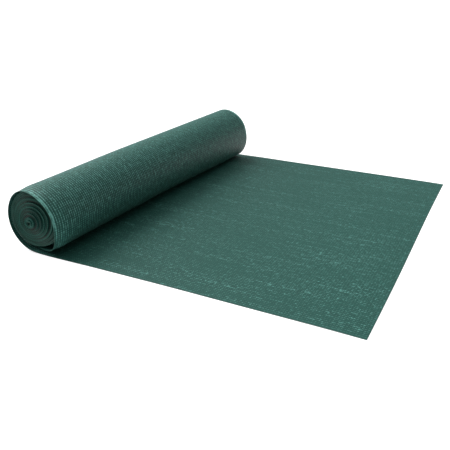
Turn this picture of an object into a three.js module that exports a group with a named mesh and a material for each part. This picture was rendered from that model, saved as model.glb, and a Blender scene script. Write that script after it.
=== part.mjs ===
// A roll of knitted screen netting, lying on its side with the outer end drawn out flat.
// Millimetres. X runs along the drawn-out end, Y along the roll, Z up, the floor is Z = 0.
// The roll is wound from the middle outwards, anticlockwise as seen from its front end.
// It is one closed solid: a wound core that shows its main turns at both ends, and one sheet
// that leaves the core, goes loosely round it once and runs out over the floor.

import * as THREE from 'three';

// The strip of netting. Wound tight, it is drawn in to a smaller width.
const NET_WIDTH = 1000;
const WOUND_WIDTH = 972;
const SHEET = 2;
const END_REACH = 781;

// The section of the roll at some distances from its front edge. The loose turn is a circle with
// centre x, z and radius rim, and bags by sag at its lower right. The core is a circle with centre
// coreX, coreZ and radius core, and its turns close in on the eye. lands: where the sheet meets the
// floor. The front edge is drawn in a little.
const COLUMNS = ['at', 'x', 'z', 'rim', 'sag', 'coreX', 'coreZ', 'core', 'eyeX', 'eyeZ', 'lands'];
const SECTIONS = [
  [0, -3, 79.5, 78.5, 0, -6.5, 84.5, 69.5, -10, 77, 50],
  [40, 0, 81.5, 81.5, 0, -3.5, 84, 74.5, -9, 78, 49],
  [400, 0, 83.5, 83.5, 0, -0.5, 83, 79, -4, 80, 40],
  [NET_WIDTH, 0, 83.5, 83.5, 11, 0, 84, 80, 3, 86, 25],
].map((row) => Object.fromEntries(COLUMNS.map((name, i) => [name, row[i]])));
const SAG_FROM = -80;
const SAG_FULL = -52;
const SAG_TO = 15;

// Distances from the front edge at which the roll gets a ring of points.
const STATIONS = [0, 13, 27, 40, 130, 220, 400, 700, NET_WIDTH];

// Main turns of the core, and steps in one turn.
const TURNS = 8;
const STEPS = 60;

// The sheet parts from the core at its bottom, goes round it and leaves the curve near the floor.
const PART_ANGLE = -90;
const WIDEST_ANGLE = -40;
const LEAVE_ANGLE = 250;
const LANDING_STEPS = 8;
const FLAT_STEPS = 14;

// How far the turns have slid along the roll, counted backwards from the front plane.
// The core's end also leans, and lies deepest at the right.
const CORE_RIM_SLIDE = 12;
const CORE_MIDDLE_SLIDE = -12;
const CORE_LEAN = 8;
const CORE_LEAN_ANGLE = 20;
const UNEVEN_SLIDE = 1.5;
const GROOVE_DEPTH = 3.5;
const GROOVE_SHARE = 0.4;
const BEVEL_SHARE = 0.22;

// The loose turn stands forward at its right side and top.
const LOOSE_SLIDE = -18.5;
const LOOSE_BACK_SLIDE = -14;
const FORWARD_FROM = 0;
const FORWARD_TO = 50;
const LEVEL_ANGLE = 160;

// The edges of the drawn-out end aren't quite straight.
const FRONT_EDGE_BOW = 3;
const FRONT_EDGE_HALF_WAVE = 640;
const BACK_EDGE_START = 9;
const BACK_EDGE_DRIFT = -15;
const CUT_EDGE_WAVE = 1.2;

const GREEN = 0x1f6b5c;

const radians = THREE.MathUtils.degToRad;
const mix = THREE.MathUtils.lerp;
const ease = (value, from, to) => THREE.MathUtils.smoothstep(value, from, to);

// The section of the roll at a distance from its front edge.
function sectionAt(distance) {
  const next = Math.max(1, SECTIONS.findIndex(({ at }) => distance <= at));
  const near = SECTIONS[next - 1];
  const far = SECTIONS[next];
  const section = {};
  for (const name of COLUMNS) {
    section[name] = mix(near[name], far[name], ease(distance, near.at, far.at));
  }
  section.share = distance / NET_WIDTH;
  return section;
}

// Radius of the seam between two turns. The turns get thinner outwards, down to one sheet.
function seamRadius(section, turn) {
  const power = Math.log(section.core / SHEET) / Math.log(TURNS);
  return section.core * (1 - (1 - turn / TURNS) ** power);
}

function onCircle(x, z, angle, radius) {
  const a = radians(angle);
  return new THREE.Vector2(x + radius * Math.cos(a), z + radius * Math.sin(a));
}

// A point of the core. The smaller the turn, the nearer its centre lies to the eye.
function corePoint(section, angle, radius) {
  const share = radius / section.core;
  const x = mix(section.eyeX, section.coreX, share);
  const z = mix(section.eyeZ, section.coreZ, share);
  return onCircle(x, z, angle, radius);
}

const seamAngle = (step) => PART_ANGLE + 360 * (step / STEPS - (TURNS - 1));

// How far a turn of the core has slid, from its radius and its angle.
function coreSlide(section, radius, angle) {
  const share = radius / section.core;
  const cone = mix(CORE_MIDDLE_SLIDE, CORE_RIM_SLIDE, share);
  const lean = CORE_LEAN * share * Math.cos(radians(angle - CORE_LEAN_ANGLE));
  const uneven = UNEVEN_SLIDE * Math.sin(radians(2 * angle)) * Math.sin(Math.PI * share);
  return cone + lean + uneven;
}

// Y of an edge of the loose turn: the core's where they part, then slid forward, then level.
function looseEdge(angle, atCore, slid, level) {
  const start = mix(atCore, slid, ease(angle, PART_ANGLE, FORWARD_FROM));
  return mix(start, level, ease(angle, FORWARD_TO, LEVEL_ANGLE));
}

// Outer face of the loose turn at an angle: it opens from the core's circle to its own.
function loosePoint(section, angle) {
  const way = Math.min(1, (angle - PART_ANGLE) / (WIDEST_ANGLE - PART_ANGLE));
  const opened = way * (2 - way);
  const wall = seamRadius(section, TURNS - 1 + (angle - PART_ANGLE) / 360);
  const tight = corePoint(section, angle, wall + SHEET);
  const bag = section.sag * ease(angle, SAG_FROM, SAG_FULL) * (1 - ease(angle, SAG_FULL, SAG_TO));
  return tight.lerp(onCircle(section.x, section.z, angle, section.rim + bag), opened);
}

// Outer face of the loose turn and the drawn-out end: a row of points, each with its Y at the
// roll's front edge and at its back edge.
function loosePath(section) {
  const path = [];
  const turnSteps = Math.round(((LEAVE_ANGLE - PART_ANGLE) / 360) * STEPS);
  const atCore = coreSlide(section, section.core, PART_ANGLE);
  const backSlid = NET_WIDTH + LOOSE_BACK_SLIDE;
  const backLevel = NET_WIDTH + BACK_EDGE_START;
  for (let step = 0; step <= turnSteps; step += 1) {
    const angle = mix(PART_ANGLE, LEAVE_ANGLE, step / turnSteps);
    const front = looseEdge(angle, atCore, LOOSE_SLIDE, 0);
    const back = looseEdge(angle, WOUND_WIDTH + atCore, backSlid, backLevel);
    path.push({ point: loosePoint(section, angle), front, back });
  }
  const leave = loosePoint(section, LEAVE_ANGLE);
  const before = loosePoint(section, LEAVE_ANGLE - 0.5);
  const slope = (leave.y - before.y) / (leave.x - before.x);
  const bend = new THREE.Vector2(leave.x - leave.y / slope, 0);
  const lands = new THREE.Vector2(section.lands, 0);
  const landing = new THREE.QuadraticBezierCurve(leave, bend, lands);
  const flatEnd = END_REACH + CUT_EDGE_WAVE * Math.sin(2 * Math.PI * section.share);
  const floorPoints = [
    ...landing.getPoints(LANDING_STEPS).slice(1),
    ...new THREE.LineCurve(lands, new THREE.Vector2(flatEnd, 0)).getPoints(FLAT_STEPS).slice(1),
  ];
  for (const point of floorPoints) {
    const out = Math.max(0, point.x);
    const bow = FRONT_EDGE_BOW * Math.sin((Math.PI * out) / FRONT_EDGE_HALF_WAVE);
    const drift = BACK_EDGE_START + (BACK_EDGE_DRIFT * out) / END_REACH;
    path.push({ point, front: bow, back: NET_WIDTH + drift });
  }
  return path;
}

// The other face of the sheet, one thickness to the left of the way the path runs.
function innerFace(path) {
  return path.map(({ point }, i) => {
    const next = path[Math.min(i + 1, path.length - 1)].point;
    const last = path[Math.max(i - 1, 0)].point;
    const along = next.clone().sub(last).normalize();
    return new THREE.Vector2(point.x - SHEET * along.y, point.y + SHEET * along.x);
  });
}

// Collects numbered points and triangles of one closed body.
class Body {
  constructor() {
    this.points = [];
    this.triangles = [];
  }

  add(flat, y) {
    this.points.push(flat.x, y, flat.y);
    return this.points.length / 3 - 1;
  }

  // A face with three or four corners.
  face([a, b, c, d]) {
    this.triangles.push(a, b, c);
    if (d !== undefined) {
      this.triangles.push(a, c, d);
    }
  }

  // Joins two rows of points, one quad for each step.
  strip(rowA, rowB) {
    for (let i = 0; i + 1 < rowA.length; i += 1) {
      this.face([rowA[i], rowA[i + 1], rowB[i + 1], rowB[i]]);
    }
  }

  geometry() {
    const geometry = new THREE.BufferGeometry();
    geometry.setAttribute('position', new THREE.Float32BufferAttribute(this.points, 3));
    geometry.setIndex(this.triangles);
    geometry.computeVertexNormals();
    return geometry;
  }
}

const LAST_WOUND_STEP = (TURNS - 1) * STEPS;

// Width, slide and groove depth of the core's turn that starts at a step of the spiral.
function turnAt(section, step) {
  const inner = seamRadius(section, Math.min(step, LAST_WOUND_STEP) / STEPS);
  const outer = seamRadius(section, Math.min(step + STEPS, TURNS * STEPS) / STEPS);
  const width = outer - inner;
  return {
    inner,
    outer,
    slide: coreSlide(section, (inner + outer) / 2, seamAngle(step)),
    groove: Math.min(GROOVE_DEPTH, GROOVE_SHARE * width),
    bevel: BEVEL_SHARE * width,
  };
}

// Seam points of the spiral, from one step to another, in a section across the roll.
function seamRow(body, section, from, to) {
  const row = [];
  for (let step = from; step <= to; step += 1) {
    const { slide, groove } = turnAt(section, step);
    const y = slide + WOUND_WIDTH * section.share + groove * (1 - 2 * section.share);
    row.push(body.add(corePoint(section, seamAngle(step), seamRadius(section, step / STEPS)), y));
  }
  return row;
}

// One section across the whole roll: the core's wall and both faces of the loose sheet.
function ringAt(body, distance) {
  const section = sectionAt(distance);
  const wall = seamRow(body, section, LAST_WOUND_STEP, TURNS * STEPS);
  const path = loosePath(section);
  const lengthwise = ({ front, back }) => mix(front, back, section.share);
  const outer = path.map((place, i) => (i ? body.add(place.point, lengthwise(place)) : wall.at(-1)));
  const inner = innerFace(path).map((point, i) => (i ? body.add(point, lengthwise(path[i])) : wall[0]));
  return { section, wall, inner, outer };
}

// The end of the core: a spiral of turns with a groove between them, each crown slid by itself.
function coreEnd(body, { section, wall }, join) {
  const seams = [...seamRow(body, section, 0, LAST_WOUND_STEP - 1), ...wall];
  const innerCrown = [];
  const outerCrown = [];
  for (let step = 0; step <= LAST_WOUND_STEP; step += 1) {
    const turn = turnAt(section, step);
    const angle = seamAngle(step);
    const y = turn.slide + WOUND_WIDTH * section.share;
    innerCrown.push(body.add(corePoint(section, angle, turn.inner + turn.bevel), y));
    outerCrown.push(body.add(corePoint(section, angle, turn.outer - turn.bevel), y));
  }
  for (let step = 0; step < LAST_WOUND_STEP; step += 1) {
    join(seams[step], innerCrown[step], innerCrown[step + 1], seams[step + 1]);
    join(innerCrown[step], outerCrown[step], outerCrown[step + 1], innerCrown[step + 1]);
    join(outerCrown[step], seams[step + STEPS], seams[step + 1 + STEPS], outerCrown[step + 1]);
  }
  for (let step = 1; step < STEPS; step += 1) {
    join(seams[0], seams[step], seams[step + 1]);
  }
  join(seams[0], seams[STEPS], outerCrown[0], innerCrown[0]);
  join(seams[LAST_WOUND_STEP], innerCrown.at(-1), outerCrown.at(-1), seams.at(-1));
}

function nettingGeometry() {
  const body = new Body();
  const rings = STATIONS.map((distance) => ringAt(body, distance));
  for (let i = 0; i + 1 < rings.length; i += 1) {
    const near = rings[i];
    const far = rings[i + 1];
    body.strip(far.wall, near.wall);
    body.strip(far.outer, near.outer);
    body.strip(near.inner, far.inner);
    body.face([near.inner.at(-1), near.outer.at(-1), far.outer.at(-1), far.inner.at(-1)]);
  }
  const frontFace = (...corners) => body.face(corners);
  const backFace = (...corners) => body.face(corners.reverse());
  for (const [ring, join] of [[rings[0], frontFace], [rings.at(-1), backFace]]) {
    coreEnd(body, ring, join);
    for (let i = 0; i + 1 < ring.inner.length; i += 1) {
      join(ring.inner[i], ring.outer[i], ring.outer[i + 1], ring.inner[i + 1]);
    }
  }
  return body.geometry();
}

const geometry = nettingGeometry();
geometry.computeBoundingBox();
const middle = geometry.boundingBox.getCenter(new THREE.Vector3());
geometry.translate(-middle.x, -middle.y, 0);

const material = new THREE.MeshStandardMaterial({ color: GREEN, roughness: 0.75, metalness: 0 });
material.name = 'green_knit';
const netting = new THREE.Mesh(geometry, material);
netting.name = 'netting';

const roll = new THREE.Group();
roll.name = 'netting_roll';
roll.add(netting);

export default roll;
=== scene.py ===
# %% [markdown]
# # A partly unrolled roll of knitted screen netting
#
# The object is one long strip of warp-knitted netting, a metre wide, wound into a roll that lies on
# its side. Its loose outer end is drawn out flat over the floor. The lesson makes the strip flat, as
# the knitting machine does, and then winds it up by moving every point of it to its place.
#
# First the frame is loaded. It holds the plain solid of the roll, and the netting has to fit that.

import math

import bmesh
import bpy
from mathutils import Matrix, Vector, noise


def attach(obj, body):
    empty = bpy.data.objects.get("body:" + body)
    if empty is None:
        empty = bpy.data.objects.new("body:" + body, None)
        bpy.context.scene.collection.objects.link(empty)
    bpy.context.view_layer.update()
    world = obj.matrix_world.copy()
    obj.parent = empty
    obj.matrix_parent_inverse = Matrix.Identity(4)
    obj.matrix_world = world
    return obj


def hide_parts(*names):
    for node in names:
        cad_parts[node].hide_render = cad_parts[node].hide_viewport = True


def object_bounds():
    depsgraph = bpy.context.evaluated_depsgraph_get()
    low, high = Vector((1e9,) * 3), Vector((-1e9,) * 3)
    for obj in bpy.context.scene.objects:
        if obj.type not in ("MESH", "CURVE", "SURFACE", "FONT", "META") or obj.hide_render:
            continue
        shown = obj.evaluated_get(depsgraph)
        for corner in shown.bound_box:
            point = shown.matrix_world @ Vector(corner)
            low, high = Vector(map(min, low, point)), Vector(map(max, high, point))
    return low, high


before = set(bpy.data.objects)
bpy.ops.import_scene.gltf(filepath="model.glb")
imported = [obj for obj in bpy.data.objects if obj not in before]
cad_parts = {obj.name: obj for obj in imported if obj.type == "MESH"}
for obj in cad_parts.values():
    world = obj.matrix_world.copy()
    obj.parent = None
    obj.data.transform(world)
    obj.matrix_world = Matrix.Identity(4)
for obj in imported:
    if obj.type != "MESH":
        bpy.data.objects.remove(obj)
cad_low, cad_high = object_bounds()
print("solids:", sorted(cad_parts), "box", tuple(cad_low), tuple(cad_high))

# %% [markdown]
# ## Where the roll lies
#
# The solid's box stands with its middle on the origin. The cut end of the strip touches its right
# side, and the edge of the loose turn stands forward as far as its front side. So the roll's axis,
# and the plane that the slides of the turns are counted from, are measured from those two sides.

# %% Place of the roll's axis and front plane
MM = 0.001
END_REACH = 781 * MM
CUT_EDGE_WAVE = 1.2 * MM
NET_WIDTH = 1000 * MM
LOOSE_SLIDE = -18.5 * MM

axis_x = cad_high.x - END_REACH - CUT_EDGE_WAVE
front_y = cad_low.y - LOOSE_SLIDE
print(f"roll axis at x {axis_x:.4f}, front plane at y {front_y:.4f}")

# %% [markdown]
# ## The camera
#
# The edges of the drawn-out end and the outline of the roll fix where the camera stood: low, to the
# right of the roll's front end, turned left along the roll. Its lens is a normal one. The camera
# could be aimed at a target, but its angles are known, so they are set.

# %% Camera
CAMERA_FROM_AXIS = Vector((0.9464, -0.9072, 0.5902))
LOOKS_DOWN = math.radians(22.56)
TURNS_LEFT = math.radians(26.58)
LEANS = math.radians(0.418)
LENS_MM = 46.29
SENSOR_MM = 36.0

camera_data = bpy.data.cameras.new("camera")
camera_data.sensor_width = SENSOR_MM
camera_data.lens = LENS_MM
camera = bpy.data.objects.new("camera", camera_data)
bpy.context.collection.objects.link(camera)
aim = Matrix.Rotation(TURNS_LEFT, 3, "Z") @ Matrix.Rotation(math.pi / 2 - LOOKS_DOWN, 3, "X")
aim = aim @ Matrix.Rotation(LEANS, 3, "Z")
camera.rotation_euler = aim.to_euler()
camera.location = Vector((axis_x, front_y, 0)) + CAMERA_FROM_AXIS
bpy.context.scene.camera = camera
print("camera at", tuple(round(c, 4) for c in camera.location))

# %% [markdown]
# ## Floor and light
#
# The floor is a plain pale sheet that glows a little, like a light table, so that it looks white and
# the shadows on it stay faint. The light is that of a studio: an even surround, a broad soft light
# at the roll's left side, so that the roll shades the netting beside it, and a weaker one overhead,
# so that the shade stays green. Area lamps would fade with distance. Suns of a wide angle are as
# soft, and fall alike on all the floor.

# %% Floor
FLOOR_HALF = 30.0
FLOOR_WHITE = (0.6, 0.6, 0.6, 1.0)
FLOOR_ROUGHNESS = 0.9
FLOOR_SHINE = 0.1
FLOOR_GLOW = 0.55
WHITE_LIGHT = (1.0, 1.0, 1.0, 1.0)

floor_mesh = bpy.data.meshes.new("floor")
bm = bmesh.new()
bmesh.ops.create_grid(bm, x_segments=1, y_segments=1, size=FLOOR_HALF)
bm.to_mesh(floor_mesh)
bm.free()
floor = bpy.data.objects.new("floor", floor_mesh)
bpy.context.collection.objects.link(floor)
floor_material = bpy.data.materials.new("white_floor")
floor_material.use_nodes = True
floor_shader = floor_material.node_tree.nodes["Principled BSDF"]
floor_shader.inputs["Base Color"].default_value = FLOOR_WHITE
floor_shader.inputs["Roughness"].default_value = FLOOR_ROUGHNESS
floor_shader.inputs["Specular IOR Level"].default_value = FLOOR_SHINE
floor_shader.inputs["Emission Color"].default_value = WHITE_LIGHT
floor_shader.inputs["Emission Strength"].default_value = FLOOR_GLOW
floor_mesh.materials.append(floor_material)
print("floor", 2 * FLOOR_HALF, "m wide")

# %% Surround and broad lights
SURROUND_STRENGTH = 0.28
SOFT_LIGHTS = [
    # name, strength, angle in degrees, where it comes from
    ("side_light", 4.8, 55, Vector((-1.0, 0.0, 0.95))),
    ("top_light", 1.3, 70, Vector((0.0, 0.1, 1.0))),
]

world = bpy.data.worlds.new("studio")
bpy.context.scene.world = world
world.use_nodes = True
surround = world.node_tree.nodes["Background"]
surround.inputs["Color"].default_value = WHITE_LIGHT
surround.inputs["Strength"].default_value = SURROUND_STRENGTH
for name, strength, angle, source in SOFT_LIGHTS:
    light_data = bpy.data.lights.new(name, "SUN")
    light_data.energy = strength
    light_data.angle = math.radians(angle)
    light = bpy.data.objects.new(name, light_data)
    light.location = source
    light.rotation_euler = (-source).to_track_quat("-Z", "Y").to_euler()
    bpy.context.collection.objects.link(light)
bpy.context.scene.view_settings.view_transform = "Standard"
print("surround", SURROUND_STRENGTH, "and", len(SOFT_LIGHTS), "broad lights")

# %% [markdown]
# ## The section of the roll
#
# Cut across, the roll is a round core with one loose turn about it. The front edge is drawn in a
# little, so the section changes most over the first four centimetres. Each row gives, in
# millimetres, its distance from the front edge, the circle of the loose turn and how far it bags at
# its lower right, the circle of the core, the eye that its turns close in on, and where the sheet
# meets the floor. These are the sizes of the solid in the part's source.

# %% Sizes of the section along the roll
COLUMNS = "at x z rim sag core_x core_z core eye_x eye_z lands".split()
SECTIONS = [
    dict(zip(COLUMNS, row))
    for row in [
        (0, -3, 79.5, 78.5, 0, -6.5, 84.5, 69.5, -10, 77, 50),
        (40, 0, 81.5, 81.5, 0, -3.5, 84, 74.5, -9, 78, 49),
        (400, 0, 83.5, 83.5, 0, -0.5, 83, 79, -4, 80, 40),
        (1000, 0, 83.5, 83.5, 11, 0, 84, 80, 3, 86, 25),
    ]
]
SPANS = list(zip(SECTIONS, SECTIONS[1:]))
print("loose turn", 2 * SECTIONS[0]["rim"], "mm thick at the edge and", end=" ")
print(2 * SECTIONS[1]["rim"], "mm a little behind it")


# %% Section at any place along the roll
def mix(a, b, share):
    return a + (b - a) * share


def ease(value, start, end):
    """0 before start, 1 after end and a soft step between."""
    share = min(1.0, max(0.0, (value - start) / (end - start)))
    return share * share * (3 - 2 * share)


def section_at(share):
    """The section's sizes in metres, at a share of the way from the front edge to the back one."""
    place = share * SECTIONS[-1]["at"]
    near, far = next((span for span in SPANS if place <= span[1]["at"]), SPANS[-1])
    way = ease(place, near["at"], far["at"])
    return {key: MM * mix(near[key], far[key], way) for key in COLUMNS}


def on_circle(x, z, angle, radius):
    a = math.radians(angle)
    return Vector((x + radius * math.cos(a), z + radius * math.sin(a)))


def core_point(section, angle, radius):
    """A point of the core. The smaller the turn, the nearer its centre lies to the eye."""
    share = radius / section["core"]
    x = mix(section["eye_x"], section["core_x"], share)
    z = mix(section["eye_z"], section["core_z"], share)
    return on_circle(x, z, angle, radius)


print(f"core {2000 * section_at(0.5)['core']:.1f} mm thick in the middle of the roll")

# %% [markdown]
# ## The wound turns
#
# Netting under a millimetre thick makes about ninety turns. They aren't evenly tight: here and
# there a turn stands off from the next one, mostly at the right side, and those gaps are the rings
# that one sees at the end of a roll. Rings could be cut into a solid end, but real turns let one
# look between them. A gap is a bump in the radius that all later turns keep. What the gaps take, the
# other turns give up, so the core keeps its outer size.

# %% Radius of the wound turns
WOUND_TURNS = 92
EYE_RADIUS = 3 * MM
PART_ANGLE = -90.0
GAP_OPENS_OVER = 0.5
GAPS = [
    # turn, widest gap in metres, angle where it is widest
    (8, 0.0008, 60),
    (16, 0.0012, 0),
    (27, 0.0007, 40),
    (38, 0.0013, 30),
    (46, 0.0007, -10),
    (57, 0.0011, 10),
    (69, 0.0009, -20),
    (80, 0.0011, 20),
]


def gap_share(angle, widest):
    """1 where a gap is widest and 0 at the other side of the roll."""
    return (0.5 + 0.5 * math.cos(math.radians(angle - widest))) ** 2


def wound_radius(section, turn):
    angle = PART_ANGLE + 360 * turn
    taken = 0.0
    opened = 0.0
    for at, size, widest in GAPS:
        gap = size * gap_share(angle, widest)
        taken += gap
        opened += gap * ease(turn, at - GAP_OPENS_OVER, at + GAP_OPENS_OVER)
    even = (section["core"] - EYE_RADIUS - taken) * turn / WOUND_TURNS
    return EYE_RADIUS + even + opened


# %% Measure the turns
SAMPLES_PER_TURN = 7

front_section = section_at(0)
samples = [sample / SAMPLES_PER_TURN for sample in range(SAMPLES_PER_TURN * (WOUND_TURNS - 1))]
pitches = [wound_radius(front_section, at + 1) - wound_radius(front_section, at) for at in samples]
print(f"from turn to turn {min(pitches) / MM:.2f} to {max(pitches) / MM:.2f} mm")

# %% [markdown]
# ## How the turns have slid
#
# All wound turns are equally wide, and a little narrower than the loose netting, because they were
# pulled tight. So a turn that has slid forward at the front is short of the edge at the back. The
# rim of the core has slid back, behind the edge of the loose turn, and its middle has slid forward.
# Between two gaps the turns lean together, which makes each ring a small step, and each turn slips a
# little by itself. Random slips would tear a turn from the next one at its end, so two waves make
# them. The loose turn stands forward at its right side and top.

# %% Slide of the turns along the roll
WOUND_WIDTH = 972 * MM
CORE_RIM_SLIDE = 12 * MM
CORE_MIDDLE_SLIDE = -9.5 * MM
CORE_LEAN = 8 * MM
CORE_LEAN_ANGLE = 20.0
RING_LEAN = 3.5 * MM
LEVEL_TURNS = 6
TURN_SLIP = 0.6 * MM
SLIP_WAVE = 2.3
SLIPS_ROUND = 3


def ring_share(turn):
    """How far a turn lies between the gap inside it and the gap outside it, 0 to 1."""
    marks = [0, *(at for at, _, _ in GAPS), WOUND_TURNS]
    for inner, outer in zip(marks, marks[1:]):
        if turn <= outer:
            return (turn - inner) / (outer - inner)
    return 1.0


def core_slide(turn):
    angle = PART_ANGLE + 360 * turn
    outwards = turn / WOUND_TURNS
    cone = mix(CORE_MIDDLE_SLIDE, CORE_RIM_SLIDE, outwards)
    lean = CORE_LEAN * outwards * math.cos(math.radians(angle - CORE_LEAN_ANGLE))
    level = ease(turn, WOUND_TURNS - LEVEL_TURNS, WOUND_TURNS)
    ring = RING_LEAN * (0.5 - ring_share(turn)) * (1 - level)
    slip = TURN_SLIP * math.sin(SLIP_WAVE * turn)
    slip += TURN_SLIP / 2 * math.sin(math.radians(SLIPS_ROUND * angle) + turn)
    return cone + lean + ring + slip


print(f"slide of the eye {core_slide(0) / MM:.1f} mm, of the rim {core_slide(WOUND_TURNS) / MM:.1f} mm")

# %% Edges of the loose turn
LOOSE_BACK_SLIDE = -14 * MM
FORWARD_FROM = 0.0
FORWARD_TO = 50.0
LEVEL_ANGLE = 160.0


def loose_edge(angle, at_core, slid, level):
    """Y of an edge of the loose turn: the core's where they part, then slid forward, then level."""
    start = mix(at_core, slid, ease(angle, PART_ANGLE, FORWARD_FROM))
    return mix(start, level, ease(angle, FORWARD_TO, LEVEL_ANGLE))


print("the loose turn stands", -LOOSE_SLIDE / MM, "mm forward")

# %% [markdown]
# ## The loose turn and the drawn-out end
#
# The sheet parts from the core at its bottom, goes once round it with a small gap, leaves the curve
# near the bottom and runs down to the floor in a soft bend. From there it lies flat. Its edges are a
# little bowed, because nobody lays netting out dead straight. A cloth simulation could drape it, but
# its edges would not come to lie where the solid's are, so the path is written down.

# %% Path of the loose turn
SAG_FROM = -80.0
SAG_FULL = -52.0
SAG_TO = 15.0
WIDEST_ANGLE = -40.0
LEAVE_ANGLE = 250.0
LOOSE_STEPS = 84


def loose_point(section, angle):
    """The loose turn opens from the core's circle to its own, and bags at its lower right."""
    way = min(1.0, (angle - PART_ANGLE) / (WIDEST_ANGLE - PART_ANGLE))
    tight = core_point(section, angle, section["core"])
    bag = section["sag"] * ease(angle, SAG_FROM, SAG_FULL) * (1 - ease(angle, SAG_FULL, SAG_TO))
    wide = on_circle(section["x"], section["z"], angle, section["rim"] + bag)
    return tight.lerp(wide, way * (2 - way))


print("the loose turn covers", LEAVE_ANGLE - PART_ANGLE, "degrees in", LOOSE_STEPS, "steps")

# %% Edges of the drawn-out end
LANDING_STEPS = 14
FLAT_STEPS = 56
TANGENT_STEP = 0.5
FRONT_EDGE_BOW = 3 * MM
FRONT_EDGE_HALF_WAVE = 640 * MM
BACK_EDGE_START = 9 * MM
BACK_EDGE_DRIFT = -15 * MM


def loose_turn_place(section, step):
    angle = mix(PART_ANGLE, LEAVE_ANGLE, step / LOOSE_STEPS)
    at_core = core_slide(WOUND_TURNS)
    front = loose_edge(angle, at_core, LOOSE_SLIDE, 0.0)
    back_slid = NET_WIDTH + LOOSE_BACK_SLIDE
    back_level = NET_WIDTH + BACK_EDGE_START
    back = loose_edge(angle, WOUND_WIDTH + at_core, back_slid, back_level)
    return loose_point(section, angle), front, back


def drawn_out_place(section, share, step):
    """A step beyond the loose turn: in the bend down to the floor at first, and then flat."""
    lands = section["lands"]
    if step <= LANDING_STEPS:
        leave = loose_point(section, LEAVE_ANGLE)
        before = loose_point(section, LEAVE_ANGLE - TANGENT_STEP)
        bend_x = leave.x - leave.y * (leave.x - before.x) / (leave.y - before.y)
        t = step / LANDING_STEPS
        x = (1 - t) ** 2 * leave.x + 2 * t * (1 - t) * bend_x + t * t * lands
        z = (1 - t) ** 2 * leave.y
    else:
        end_x = END_REACH + CUT_EDGE_WAVE * math.sin(2 * math.pi * share)
        x = mix(lands, end_x, (step - LANDING_STEPS) / FLAT_STEPS)
        z = 0.0
    out = max(0.0, x)
    front = FRONT_EDGE_BOW * math.sin(math.pi * out / FRONT_EDGE_HALF_WAVE)
    back = NET_WIDTH + BACK_EDGE_START + BACK_EDGE_DRIFT * out / END_REACH
    return Vector((x, z)), front, back


def free_place(step, share):
    """Point across the roll, and Y at the front and the back edge, for a step of the free sheet."""
    section = section_at(share)
    if step <= LOOSE_STEPS:
        return loose_turn_place(section, step)
    return drawn_out_place(section, share, step - LOOSE_STEPS)


FREE_STEPS = LOOSE_STEPS + LANDING_STEPS + FLAT_STEPS
print("free sheet in", FREE_STEPS, "steps")

# %% [markdown]
# ## The flat strip
#
# The netting starts as one flat grid, with a row of faces for each step along it. The wound turns
# need no points between their two edges. The last of them and the free sheet do, so their cross
# edges are subdivided. A point's place in the flat grid gives its step and its share of the width,
# and those two numbers say where it goes. Near the front edge the faces are narrower, because the
# sheet is drawn in there. An extruded spiral curve would be quicker, but its front and its back
# would be alike, and here the turns have slid.

# %% Flat strip
STEPS = 60
WOUND_STEPS = WOUND_TURNS * STEPS
ALL_STEPS = WOUND_STEPS + FREE_STEPS
WIDTH_FACES = 96
EDGE_FACES = 16
EDGE_SHARE = 0.048
SAME_STEP = 0.1

bm = bmesh.new()
bmesh.ops.create_grid(bm, x_segments=ALL_STEPS, y_segments=1, size=0.5)


def step_of(point):
    return (point.x + 0.5) * ALL_STEPS


def width_share(point):
    even = point.y + 0.5
    edge = EDGE_FACES / WIDTH_FACES
    if even < edge:
        return even * EDGE_SHARE / edge
    return mix(EDGE_SHARE, 1.0, (even - edge) / (1 - edge))


cross_edges = [
    edge
    for edge in bm.edges
    if abs(edge.verts[0].co.x - edge.verts[1].co.x) < SAME_STEP / ALL_STEPS
    and step_of(edge.verts[0].co) > WOUND_STEPS - STEPS
]
bmesh.ops.subdivide_edges(bm, edges=cross_edges, cuts=WIDTH_FACES - 1, use_grid_fill=True)
print(len(bm.verts), "points,", len(bm.faces), "faces in the flat strip")

# %% [markdown]
# ## Winding it up
#
# Now every point moves to its place. The length of cloth up to each step is added up on the way: it
# is what the knit pattern is drawn along, and it shows that the roll holds a real length of netting.
# Each point keeps its place on the cloth as an attribute, because a pattern on the object's own
# coordinates would cut straight through the turns.


# %% Place of a step in the roll
def wound_place(step, share):
    section = section_at(share)
    turn = step / STEPS
    slide = core_slide(turn)
    across = core_point(section, PART_ANGLE + 360 * turn, wound_radius(section, turn))
    return across, slide, WOUND_WIDTH + slide


def place_of(step, share):
    if step < WOUND_STEPS:
        across, front, back = wound_place(step, share)
    else:
        across, front, back = free_place(step - WOUND_STEPS, share)
    return Vector((axis_x + across.x, front_y + mix(front, back, share), across.y))


print("the cut end lies at", tuple(round(c, 3) for c in place_of(ALL_STEPS, 0.5)))

# %% Length of the cloth
run = [0.0]
previous = place_of(0, 0.5)
for step in range(1, ALL_STEPS + 1):
    here = place_of(step, 0.5)
    run.append(run[-1] + (here - previous).length)
    previous = here
strip_length = run[-1]
free_length = strip_length - run[WOUND_STEPS]
print(f"the strip is {strip_length:.2f} m long, {free_length:.2f} m of it free")

# %% Wind the strip
cloth_layer = bm.verts.layers.float_vector.new("cloth")
for vert in bm.verts:
    step = round(step_of(vert.co))
    share = width_share(vert.co)
    vert[cloth_layer] = Vector((strip_length - run[step], share * NET_WIDTH, 0.0))
    vert.co = place_of(step, share)
print("wound up")

# %% [markdown]
# ## Faint waves and thickness
#
# A net keeps faint waves from having been wound. They are lifts off the floor, of up to about a
# millimetre, and never go below it. They could come from a displacement texture, but a few lines of
# noise on the cloth's own place keep them off the cut edge and the bend. The strip's faces look
# towards the roll's middle, so they are turned round. Then solidify adds the thickness on the inner
# side, and the outer side stays where it is.

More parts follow.
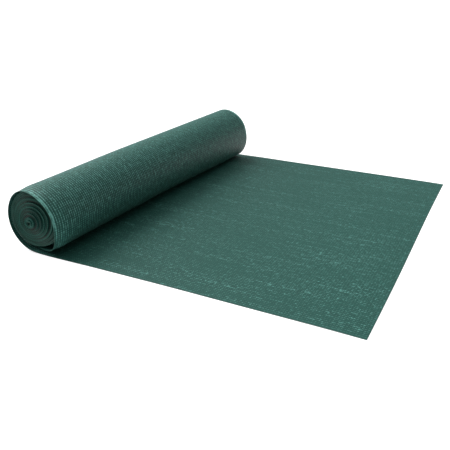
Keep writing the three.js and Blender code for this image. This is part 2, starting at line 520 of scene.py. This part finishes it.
# %% Faint waves
CLEAR = 0.3 * MM
WAVE_HEIGHT = 1.2 * MM
WAVE_SCALE = Vector((5.0, 2.5, 0.0))
WAVE_RISE = 0.3
WAVES_FULL = 0.05
WAVES_FADE_FROM = 0.6
WAVES_FADE_TO = 0.74

for vert in bm.verts:
    from_end, width_place, _ = vert[cloth_layer]
    if from_end > free_length:
        continue
    wave_place = Vector((from_end, width_place, 0.0)) * WAVE_SCALE
    lift = WAVE_HEIGHT * max(0.0, noise.noise(wave_place) + WAVE_RISE)
    lift *= ease(from_end, 0.0, WAVES_FULL) * (1 - ease(from_end, WAVES_FADE_FROM, WAVES_FADE_TO))
    vert.co.z += lift + CLEAR
print("the free sheet lies", CLEAR / MM, "mm clear of the floor")

# %% Thickness
CLOTH = 0.6 * MM
SHARP_ANGLE = math.radians(50)

bmesh.ops.reverse_faces(bm, faces=bm.faces[:])
bmesh.ops.solidify(bm, geom=bm.faces[:], thickness=CLOTH)
for face in bm.faces:
    face.smooth = True
mesh = bpy.data.meshes.new("netting_strip")
bm.to_mesh(mesh)
bm.free()
mesh.set_sharp_from_angle(angle=SHARP_ANGLE)
netting = bpy.data.objects.new("netting_strip", mesh)
bpy.context.collection.objects.link(netting)
heights = [vert.co.z / MM for vert in mesh.vertices]
print(f"{len(mesh.polygons)} faces, from {min(heights):.2f} mm to {max(heights):.2f} mm high")

# %% [markdown]
# ## Shader maths
#
# The knit is drawn by formulas. Their nodes could be added one by one, but then nobody could read
# the formula. So a small class stands for the output of a node, a formula is written as it would be
# for plain numbers, and each operator adds the node that does it.


# %% Sockets as numbers
class Wire:
    """The output of a node, used like a number."""

    def __init__(self, sketch, socket):
        self.sketch = sketch
        self.socket = socket

    def maths(self, operation, *others):
        numbers = dict(enumerate((self, *others)))
        return self.sketch.node("Math", {"operation": operation}, numbers)

    def __add__(self, other):
        return self.maths("ADD", other)

    __radd__ = __add__

    def __sub__(self, other):
        return self.maths("SUBTRACT", other)

    def __rsub__(self, other):
        return self * -1 + other

    def __mul__(self, other):
        return self.maths("MULTIPLY", other)

    __rmul__ = __mul__

    def __truediv__(self, other):
        return self.maths("DIVIDE", other)

    def cos(self):
        return self.maths("COSINE")

    def fract(self):
        return self.maths("FRACT")

    def size(self):
        return self.maths("ABSOLUTE")

    def above(self, low, high):
        """0 below low, 1 above high and a soft step between."""
        limits = {"Value": self, "From Min": low, "From Max": high}
        return self.sketch.node("MapRange", {"interpolation_type": "SMOOTHSTEP"}, limits)


class Sketch:
    """A material and the one way to add a node to it."""

    def __init__(self, name):
        self.material = bpy.data.materials.new(name)
        self.material.use_nodes = True
        self.tree = self.material.node_tree
        self.tree.nodes.clear()

    def node(self, kind, settings, inputs, output=0):
        made = self.tree.nodes.new("ShaderNode" + kind)
        for name, value in settings.items():
            setattr(made, name, value)
        for key, value in inputs.items():
            if isinstance(value, Wire):
                self.tree.links.new(value.socket, made.inputs[key])
            else:
                made.inputs[key].default_value = value
        return Wire(self, made.outputs[output]) if made.outputs else None

    def blend(self, share, first, second):
        """Mixes two colours."""
        return self.node("Mix", {"data_type": "RGBA"}, {0: share, 6: first, 7: second}, output=2)


print("shader helpers ready")

# %% [markdown]
# ## The knit
#
# Ribs of looped thread run along the strip, about three millimetres apart, and every second one is
# heavier. Flat tape zigzags from rib to rib and fills the spaces but for pinholes. The two edges are
# knitted without gaps. Modelled threads would be truest, but the strip has some two and a half
# million stitches. Formulas draw them all, sharp at any distance. Along and across are millimetres
# of cloth, so the pattern follows the strip round the roll.

# %% Knit pattern
RIB_PITCH = 3.3
STITCH_PITCH = 2.9
TAPE_LEAN = 1.6
EDGE_BAND = 9.0
EDGE_BAND_BLUR = 1.5
HOLE_RIM = (0.06, 0.18)
HALF_WIDTH = NET_WIDTH / MM / 2

knit = Sketch("green_knit")
cloth = knit.node("Attribute", {"attribute_name": "cloth"}, {}, output=1)
along = knit.node("SeparateXYZ", {}, {0: cloth}) * 1000
across = knit.node("SeparateXYZ", {}, {0: cloth}, output=1) * 1000


def ridges(place, pitch):
    """1 on every ridge and 0 midway between two."""
    return (place * (2 * math.pi / pitch)).cos() * 0.5 + 0.5


rib = ridges(across, RIB_PITCH)
heavy_rib = ridges(across, 2 * RIB_PITCH)
zigzag = ((across / (2 * RIB_PITCH)).fract() * 2 - 1).size()
leant = along + zigzag * TAPE_LEAN
stitch = ridges(along, STITCH_PITCH)
heavy_stitch = ridges(leant, 2 * STITCH_PITCH)
tape = ridges(leant, STITCH_PITCH)
edge_distance = HALF_WIDTH - (across - HALF_WIDTH).size()
edge_band = 1 - edge_distance.above(EDGE_BAND - EDGE_BAND_BLUR, EDGE_BAND + EDGE_BAND_BLUR)
hole = (1 - rib.above(*HOLE_RIM)) * (1 - tape.above(*HOLE_RIM)) * (1 - edge_band)
print("ribs every", RIB_PITCH, "mm and stitches every", STITCH_PITCH, "mm")

# %% [markdown]
# ## Relief of the knit
#
# The looped threads stand proud of the tape by less than a millimetre. That is too fine for points
# of the mesh, so a bump shows it.

# %% Thread and relief
LIGHT_RIB = 0.15
BETWEEN_LOOPS = 0.2
LOOP = 0.2
HEAVY_LOOP = 0.6
TAPE_HEIGHT = 0.35
RELIEF = 0.8 * MM
RELIEF_STRENGTH = 0.7

rib_weight = LIGHT_RIB + (1 - LIGHT_RIB) * heavy_rib
loops = BETWEEN_LOOPS + LOOP * stitch + HEAVY_LOOP * heavy_stitch
thread = rib * rib_weight * loops
height = thread + TAPE_HEIGHT * tape
relief_inputs = {"Strength": RELIEF_STRENGTH, "Distance": RELIEF, "Height": height}
bump = knit.node("Bump", {}, relief_inputs)
print("relief", RELIEF / MM, "mm")

# %% [markdown]
# ## What makes the knit uneven
#
# Real knit is never even. It has long streaks, where thread and tape ran a little tighter, flecks a
# centimetre or two long, and small patches. They could be painted on, but the strip is far too long for
# that. So all are noise on the cloth's own place, and the streaks and flecks are stretched along the
# strip. One more noise, very long, picks which rims of turns at the end of the roll get a painted
# highlight and which stay in painted shade.

# %% Streaks, flecks and patches
STREAKS_PER_MM = (0.004, 0.05)
FLECKS_PER_MM = (0.06, 0.12)
PATCHES_PER_M = 160.0
# very long noise that picks which turn rims get a painted highlight
TURN_HIGHLIGHTS_PER_MM = (0.0007, 0.0)


def speckle(place, scale, detail):
    return knit.node("TexNoise", {}, {"Vector": place, "Scale": scale, "Detail": detail})


def cloth_place(per_mm):
    return knit.node("CombineXYZ", {}, {0: along * per_mm[0], 1: across * per_mm[1]})


streak = speckle(cloth_place(STREAKS_PER_MM), 1.0, 3.0)
fleck = speckle(cloth_place(FLECKS_PER_MM), 1.0, 4.0)
patch = speckle(cloth, PATCHES_PER_M, 3.0)
# noise along the strip that places painted highlights on the rims of some turns
turn_highlight = speckle(cloth_place(TURN_HIGHLIGHTS_PER_MM), 1.0, 3.0)
print("streaks", round(1 / STREAKS_PER_MM[0]), "mm long")

# %% [markdown]
# ## How pale each place is
#
# The thread of the ribs is paler than the tape, and the paleness of its heavy loops also stands in for
# glints of gloss, as painted highlights. On the roll the ribs get a painted sheen, and the whole roll a
# little painted shade. On the roll the dense knit of the two edges gets painted shade, but at its upper
# right it gets a painted highlight, where the light catches it. Places along the strip are millimetres
# from the cut end. A number, the paleness, adds all this up, and later picks the colour between that of
# the tape and that of the rib.

# %% Paleness
ROLL_STARTS = (700.0, 900.0)
# spans along the strip: the painted highlight on the edge band at the roll's upper right
HIGHLIGHT_STARTS = (1000.0, 1070.0)
HIGHLIGHT_ENDS = (1150.0, 1230.0)
# painted highlight on the edge band at the roll's upper right
EDGE_BAND_PAINTED_HIGHLIGHT = 0.9
# painted shade on the rest of the edge band on the roll
EDGE_BAND_PAINTED_SHADE = 0.35
RIBS_ON_FLAT = 0.65
# painted sheen on the ribs of the roll
RIB_SHEEN_ON_ROLL = 0.6
# painted shade over the whole roll
ROLL_PAINTED_SHADE = 0.02
PATCHES = 1.4
FLECKS_ON_FLAT = 0.9
FLECKS_MORE_ON_ROLL = 0.6
STREAKS_ON_FLAT = 1.0
STREAKS_LESS_ON_ROLL = 0.7

wound = along.above(*ROLL_STARTS)
painted_highlight_span = along.above(*HIGHLIGHT_STARTS) * (1 - along.above(*HIGHLIGHT_ENDS))
# painted highlight and painted shade on the edge band of the roll
edge_band_painted_light = edge_band * (painted_highlight_span * EDGE_BAND_PAINTED_HIGHLIGHT - EDGE_BAND_PAINTED_SHADE) * wound
# paler ribs, with painted glints on the heavy loops and painted sheen on the roll
rib_tone_and_sheen = thread * (RIBS_ON_FLAT + RIB_SHEEN_ON_ROLL * wound)
# adds the painted highlight and shade of the edge band and the painted shade over the roll
knit_paleness_and_painted_light = rib_tone_and_sheen + edge_band_painted_light - wound * ROLL_PAINTED_SHADE
flecks = (fleck - 0.5) * (FLECKS_ON_FLAT + FLECKS_MORE_ON_ROLL * wound)
streaks = (streak - 0.5) * (STREAKS_ON_FLAT - STREAKS_LESS_ON_ROLL * wound)
unevenness = (patch - 0.5) * PATCHES + flecks + streaks
paleness_and_painted_light = knit_paleness_and_painted_light + unevenness
print("the roll starts", ROLL_STARTS[0], "mm from the cut end")

# %% [markdown]
# ## Colour and gloss
#
# The tape is dark green, darker still in the streaks, and the thread of the ribs is paler. The very rim
# of the knitted edges is what one sees at the end of the roll. It is painted almost black, as painted
# shade between the threads and the turns, and the rims of some turns are painted paler, as painted
# highlights where their edges catch the light. The plastic has a soft gloss, and the flat tape is a
# little glossier than the thread. The holes are the places where the material lets the light through.

# %% Colours of the netting
TAPE_GREEN = (0.009, 0.060, 0.048, 1.0)
RIB_GREEN = (0.125, 0.350, 0.305, 1.0)
STREAK_GREEN = (0.004, 0.038, 0.030, 1.0)
# rims at the end of the roll: painted shade, and a painted highlight on some turns
RIM_PAINTED_SHADE = (0.001, 0.010, 0.007, 1.0)
RIM_PAINTED_HIGHLIGHT = (0.016, 0.110, 0.082, 1.0)
STREAK_RANGE = (0.35, 0.75)
STREAK_DEPTH = 0.6
PALE_RANGE = (0.1, 1.1)
TURN_HIGHLIGHT_RANGE = (0.42, 0.58)
EDGE_LINE = 0.6

ground = knit.blend(streak.above(*STREAK_RANGE) * STREAK_DEPTH, TAPE_GREEN, STREAK_GREEN)
face_colour = knit.blend(paleness_and_painted_light.above(*PALE_RANGE), ground, RIB_GREEN)
# painted shade and painted highlights on the rims of the turns
rim_painted_shade_and_highlight = knit.blend(turn_highlight.above(*TURN_HIGHLIGHT_RANGE), RIM_PAINTED_SHADE, RIM_PAINTED_HIGHLIGHT)
colour = knit.blend(edge_distance.above(0.0, EDGE_LINE), rim_painted_shade_and_highlight, face_colour)
print("the dark rim is", EDGE_LINE, "mm wide")

# %% Finish of the netting
THREAD_ROUGHNESS = 0.6
TAPE_SMOOTHER = 0.1
PLASTIC_SHINE = 0.28

surface = knit.node(
    "BsdfPrincipled",
    {},
    {
        "Base Color": colour,
        "Roughness": THREAD_ROUGHNESS - TAPE_SMOOTHER * tape,
        "Normal": bump,
        "Alpha": 1 - hole,
        "Specular IOR Level": PLASTIC_SHINE,
    },
)
knit.node("OutputMaterial", {}, {"Surface": surface})
mesh.materials.append(knit.material)
print(len(knit.tree.nodes), "nodes in the knit")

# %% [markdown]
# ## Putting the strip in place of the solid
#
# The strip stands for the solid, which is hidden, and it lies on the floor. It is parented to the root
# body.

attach(netting, "root")
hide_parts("netting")
